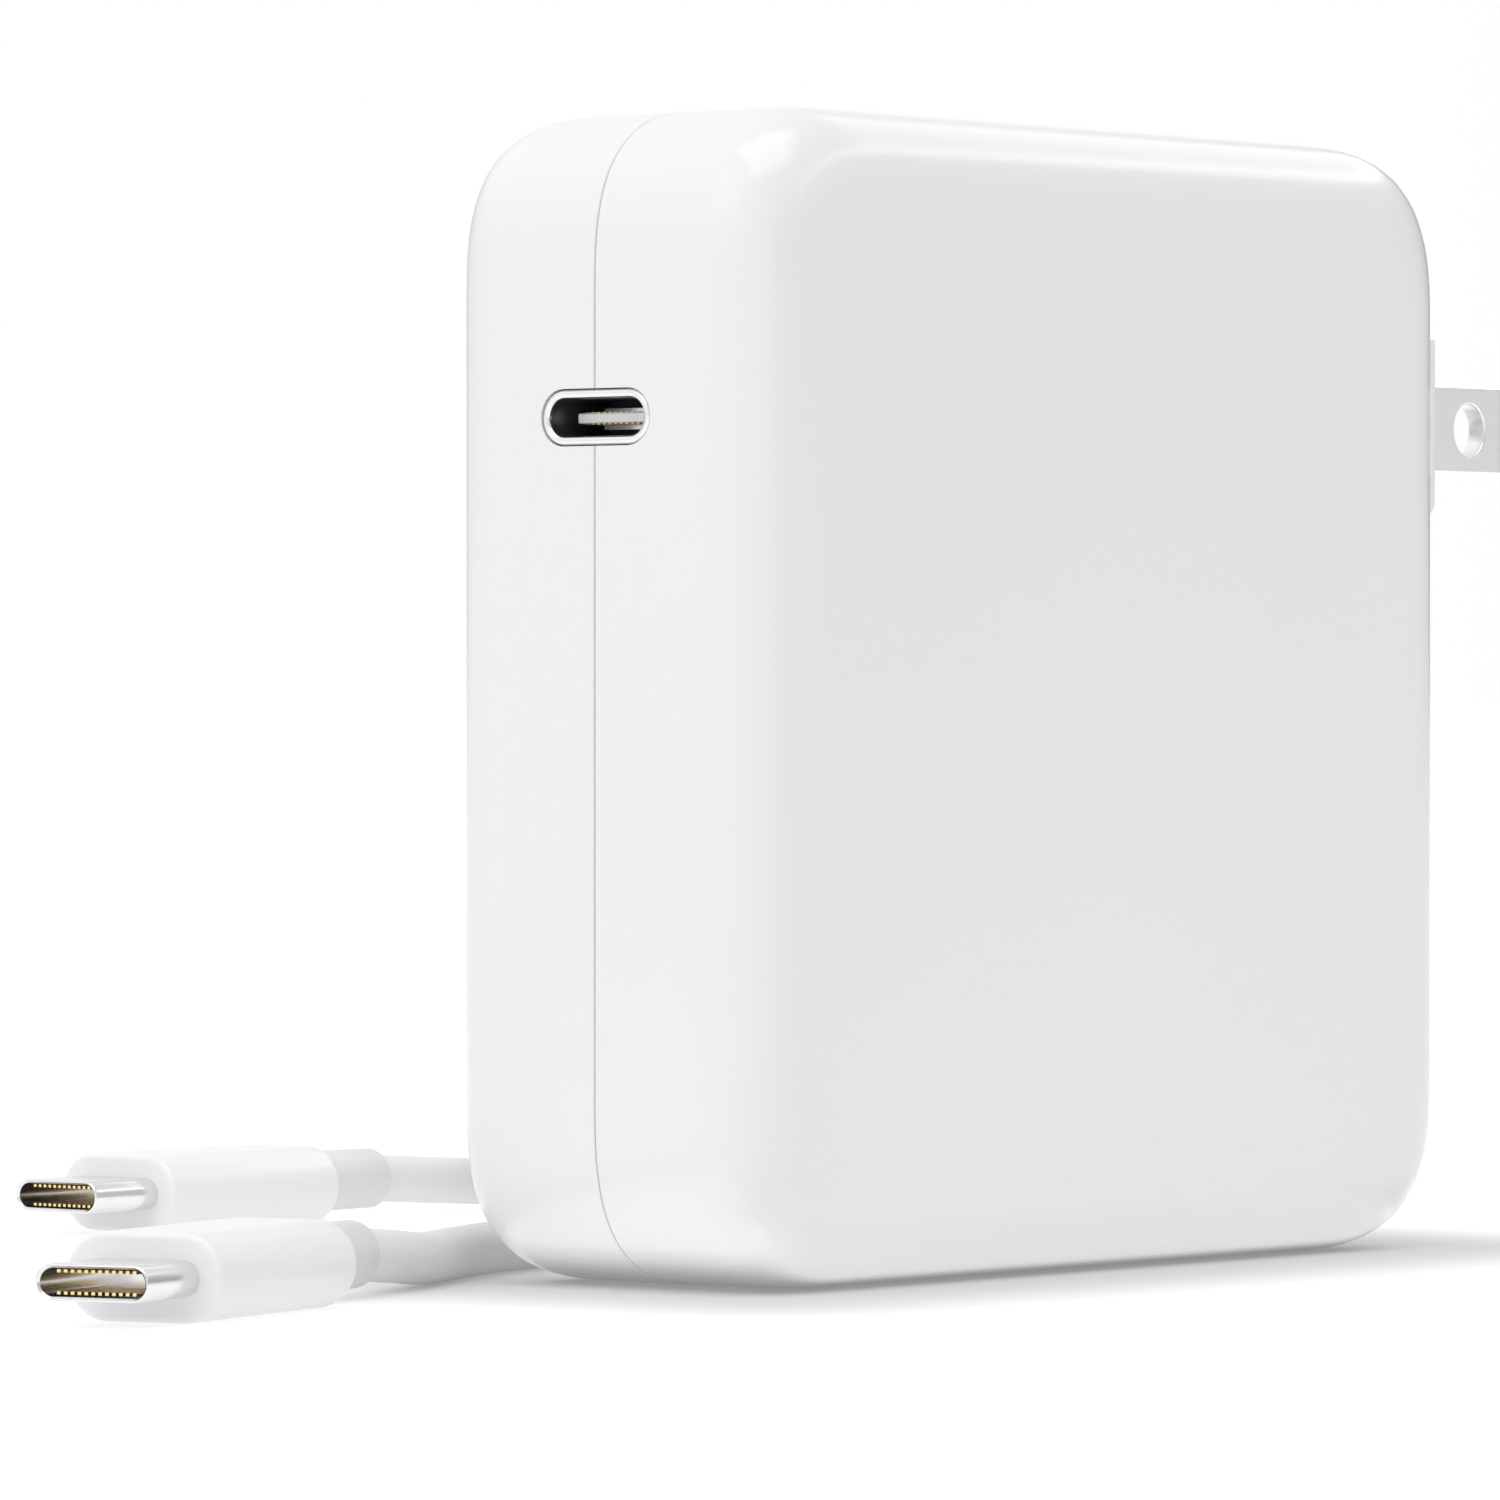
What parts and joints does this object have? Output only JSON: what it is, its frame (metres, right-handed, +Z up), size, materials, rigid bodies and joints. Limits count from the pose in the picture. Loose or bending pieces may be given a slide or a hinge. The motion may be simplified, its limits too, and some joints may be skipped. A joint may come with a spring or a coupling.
{
  "type": "usb-c laptop power adapter",
  "caption": "Square white USB-C laptop power adapter with rounded edges, a fold-away flat-blade wall plug on one narrow side, a USB-C socket on the other, and a coiled USB-C cable beside it.",
  "frame": {"origin": "on the surface it stands on, under the middle of the case", "axes": "+Z up; +X out of the wall plug; -X out of the USB-C socket; Y through the case's thickness, -Y being the front large face"},
  "size_m": [0.1684, 0.096, 0.08],
  "materials": {
    "case_plastic": "glossy moulded white",
    "housing_plastic": "satin-gloss moulded white",
    "blade_metal": "bright nickel plating",
    "spring_steel": "plain",
    "bronze": "plain",
    "gold_contact": "gold flash",
    "socket_steel": "drawn, satin",
    "socket_insulator": "moulded",
    "dark_insulator": "moulded",
    "board": "solder mask",
    "wire_brown": "silicone sleeve",
    "wire_blue": "silicone sleeve",
    "ferrite": "sintered",
    "copper_winding": "enamelled",
    "tape": "polyester tape",
    "fuse_body": "glazed with metal caps",
    "film_yellow": "moulded box",
    "capacitor_black": "shrink sleeve",
    "capacitor_blue": "shrink sleeve",
    "disc_blue": "dipped",
    "thermal_pad": "soft pad",
    "aluminium": "plain sheet",
    "insulation": "thin film",
    "cable_plastic": "soft-touch jacket",
    "grip_plastic": "moulded, satin gloss",
    "tie_fabric": "hook-and-loop tape"
  },
  "bodies": {
    "adapter": {"front_cover": "case_plastic", "back_cover": "case_plastic", "plug_housing": "housing_plastic", "pivot_pin": "spring_steel", "detent_spring": "spring_steel", "contact_spring_line": "bronze", "contact_spring_neutral": "bronze", "line_wire": "wire_brown", "neutral_wire": "wire_blue", "usb_c_shell": "socket_steel", "usb_c_tongue": "socket_insulator", "usb_c_contacts": "gold_contact", "usb_c_shield": "socket_steel", "usb_c_rear_block": "dark_insulator", "main_board": "board", "output_board": "board", "board_header": "dark_insulator", "fuse": "fuse_body", "bridge_rectifier": "dark_insulator", "choke_core": "ferrite", "choke_winding": "copper_winding", "x_capacitor": "film_yellow", "bulk_capacitors": "capacitor_black", "inductor_core": "ferrite", "inductor_winding": "copper_winding", "transformer_core": "ferrite", "transformer_winding": "tape", "thermal_pad": "thermal_pad", "heatsink": "aluminium", "switch_transistors": "dark_insulator", "output_capacitors": "capacitor_blue", "y_capacitor": "disc_blue", "optocoupler": "socket_insulator", "control_chips": "dark_insulator", "usb_control_chip": "dark_insulator", "heat_spreader_front": "aluminium", "heat_spreader_back": "aluminium", "insulation_front": "insulation", "insulation_back": "insulation", "plug_a_shell": "socket_steel", "plug_a_contacts": "gold_contact", "plug_a_grip": "grip_plastic", "plug_a_relief": "cable_plastic", "plug_b_shell": "socket_steel", "plug_b_contacts": "gold_contact", "plug_b_grip": "grip_plastic", "plug_b_relief": "cable_plastic", "cable_run_a": "cable_plastic", "cable_coil": "cable_plastic", "cable_run_b": "cable_plastic", "coil_tie": "tie_fabric"},
    "folding_plug": {"prong_carrier": "case_plastic", "prong_front": "blade_metal", "prong_back": "blade_metal"}
  },
  "joints": [
    {"name": "plug_fold", "type": "hinge", "parent": "adapter", "child": "folding_plug", "pos_m": [0.034, 0, 0.0599], "axis": [0, 1, 0], "range_deg": [0, 90]}
  ]
}
